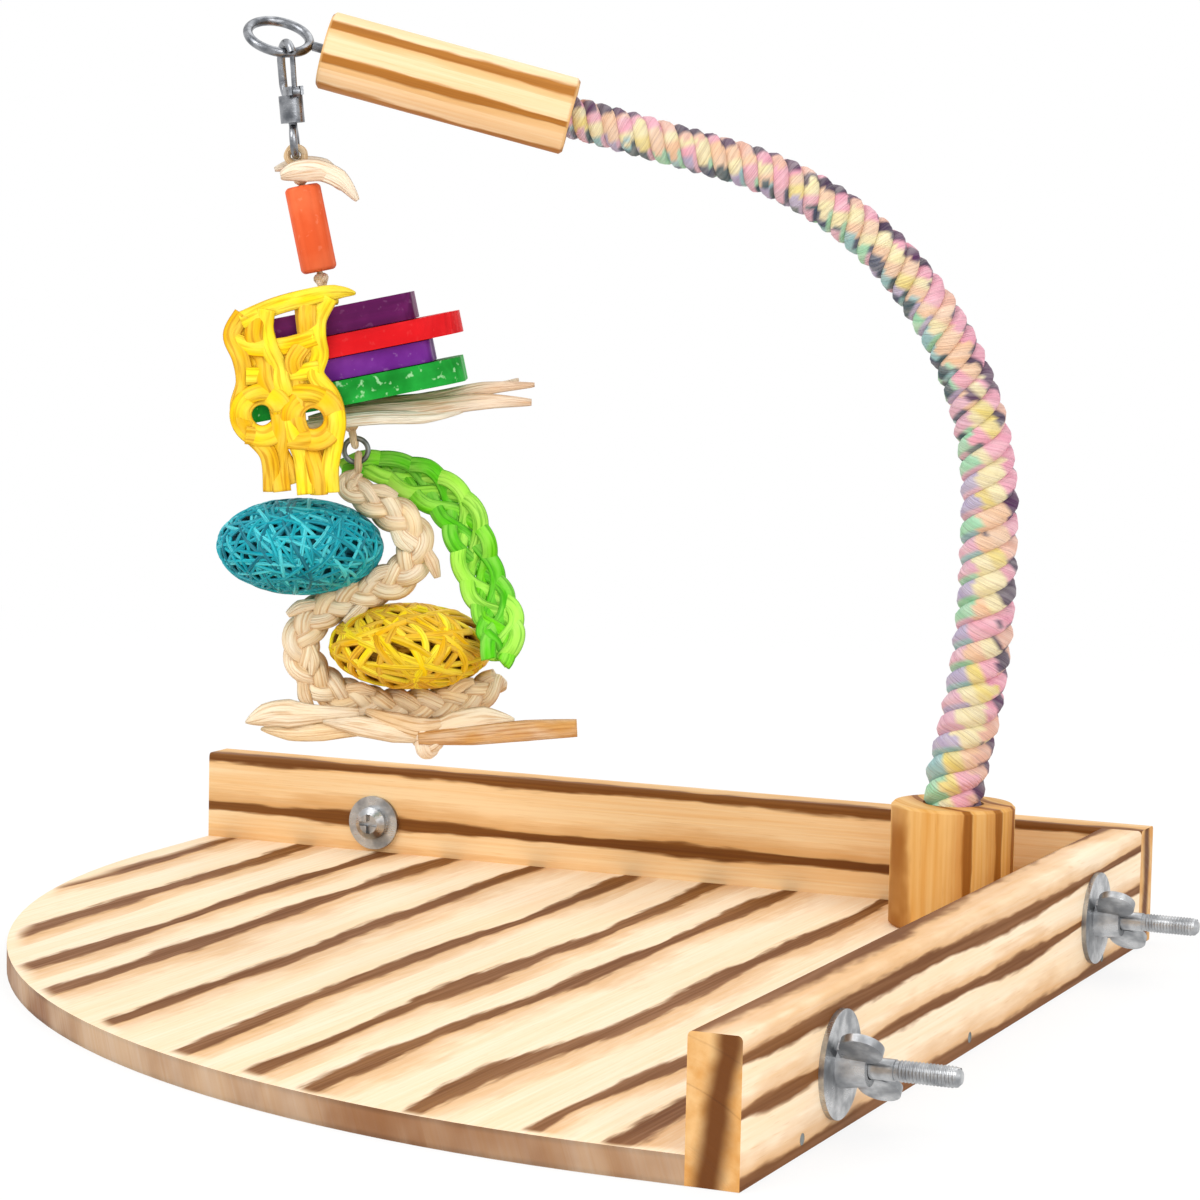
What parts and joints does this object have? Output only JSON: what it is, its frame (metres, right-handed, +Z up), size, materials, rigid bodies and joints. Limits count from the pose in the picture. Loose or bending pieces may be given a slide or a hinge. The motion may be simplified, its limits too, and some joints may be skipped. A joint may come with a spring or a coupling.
{
  "type": "bird playground",
  "caption": "Corner play stand for cage birds: scorched pine tray with low walls, bendable rope perch arching over it, hanging chew toy on a snap hook, and cage bolts with wing nuts.",
  "frame": {"origin": "underside of the tray, at the middle of the rectangle that encloses tray and walls", "axes": "+X towards the side wall, +Y towards the back wall, +Z up"},
  "size_m": [0.4, 0.425, 0.3113],
  "materials": {
    "scorched_pine": "scorched and brushed, open grain",
    "block_wood": "scorched, satin",
    "dowel_wood": "sanded, bare",
    "zinc_steel": "zinc plated",
    "nickel_steel": "nickel plated",
    "core_wire": "bare wire",
    "cotton_rope": "twisted pastel cotton",
    "husk": "dry corn husk",
    "orange_paint": "dyed wood",
    "purple_dye": "dyed wood",
    "red_dye": "dyed wood",
    "violet_dye": "dyed wood",
    "green_dye": "dyed wood",
    "yellow_palm": "dyed woven palm leaf",
    "green_palm": "dyed woven palm leaf",
    "blue_vine": "dyed woven vine",
    "yellow_vine": "dyed woven vine",
    "grey_wire": "dull wire"
  },
  "bodies": {
    "base": {"tray_board": "scorched_pine", "back_wall": "scorched_pine", "side_wall": "scorched_pine", "wall_nails": "zinc_steel", "perch_block": "block_wood", "block_screw": "zinc_steel", "perch_core": "core_wire", "rope_perch": "cotton_rope", "tip_dowel": "dowel_wood", "screw_eye": "zinc_steel", "front_bolt": "zinc_steel", "rear_bolt": "zinc_steel", "back_bolt": "zinc_steel", "front_inner_washer": "zinc_steel", "rear_inner_washer": "zinc_steel", "back_inner_washer": "zinc_steel"},
    "front_washer": {"front_washer": "zinc_steel"},
    "front_nut": {"front_wing_nut": "zinc_steel"},
    "rear_washer": {"rear_washer": "zinc_steel"},
    "rear_nut": {"rear_wing_nut": "zinc_steel"},
    "back_washer": {"back_washer": "zinc_steel"},
    "back_nut": {"back_wing_nut": "zinc_steel"},
    "hook": {"hook_body": "nickel_steel", "gate_pin": "nickel_steel"},
    "gate": {"hook_gate": "nickel_steel"},
    "swivel": {"swivel_eye": "nickel_steel"},
    "toy": {"toy_cord": "husk", "yellow_weave": "yellow_palm", "upper_purple_chip": "purple_dye", "red_chip": "red_dye", "lower_purple_chip": "violet_dye", "green_chip": "green_dye", "husk_tuft": "husk", "link_ring": "grey_wire"},
    "bead": {"orange_bead": "orange_paint"},
    "lower_toy": {"husk_braid": "husk", "green_vine": "green_palm", "blue_ball": "blue_vine", "yellow_ball": "yellow_vine", "husk_bow": "husk"}
  },
  "joints": [
    {"name": "front_washer_slide", "type": "slide", "parent": "base", "child": "front_washer", "axis": [1, 0, 0], "range_m": [0, 0.02]},
    {"name": "front_nut_turn", "type": "hinge", "parent": "front_washer", "child": "front_nut", "pos_m": [0.1825, -0.124, 0.019], "axis": [1, 0, 0], "range_deg": [0, 7200.5]},
    {"name": "rear_washer_slide", "type": "slide", "parent": "base", "child": "rear_washer", "axis": [1, 0, 0], "range_m": [0, 0.02]},
    {"name": "rear_nut_turn", "type": "hinge", "parent": "rear_washer", "child": "rear_nut", "pos_m": [0.1825, 0.124, 0.019], "axis": [1, 0, 0], "range_deg": [0, 7200.5]},
    {"name": "back_washer_slide", "type": "slide", "parent": "base", "child": "back_washer", "axis": [0, 1, 0], "range_m": [0, 0.02]},
    {"name": "back_nut_turn", "type": "hinge", "parent": "back_washer", "child": "back_nut", "pos_m": [-0.1115, 0.195, 0.019], "axis": [0, 1, 0], "range_deg": [0, 7200.5]},
    {"name": "hook_swing", "type": "hinge", "parent": "base", "child": "hook", "pos_m": [-0.081, 0.04664, 0.29713], "axis": [0.693, 0.721, 0], "range_deg": [-25, 25]},
    {"name": "gate_swing", "type": "hinge", "parent": "hook", "child": "gate", "pos_m": [-0.07615, 0.04373, 0.28422], "axis": [-0.6883, -0.719, -0.0964], "range_deg": [0, 28], "stiffness_Nm_per_rad": 0.005, "springref_deg": -11.46},
    {"name": "swivel_spin", "type": "hinge", "parent": "hook", "child": "swivel", "pos_m": [-0.07878, 0.0476, 0.27415], "axis": [-0.0959, -0.0415, 0.9945], "continuous": true},
    {"name": "toy_swing", "type": "hinge", "parent": "swivel", "child": "toy", "pos_m": [-0.07774, 0.04805, 0.26341], "axis": [-0.3971, 0.9178, 0], "range_deg": [-25, 25]},
    {"name": "bead_spin", "type": "hinge", "parent": "toy", "child": "bead", "pos_m": [-0.0729, 0.05015, 0.23939], "axis": [-0.1971, -0.0853, 0.9767], "continuous": true},
    {"name": "lower_swing", "type": "hinge", "parent": "toy", "child": "lower_toy", "pos_m": [-0.05729, 0.0569, 0.16203], "axis": [0.9178, 0.3971, 0], "range_deg": [-3, 30]}
  ],
  "couplings": [
    {"joint": "front_nut_turn", "follows": "front_washer_slide", "rad_per_m": 6283.2},
    {"joint": "rear_nut_turn", "follows": "rear_washer_slide", "rad_per_m": 6283.2},
    {"joint": "back_nut_turn", "follows": "back_washer_slide", "rad_per_m": 6283.2}
  ]
}
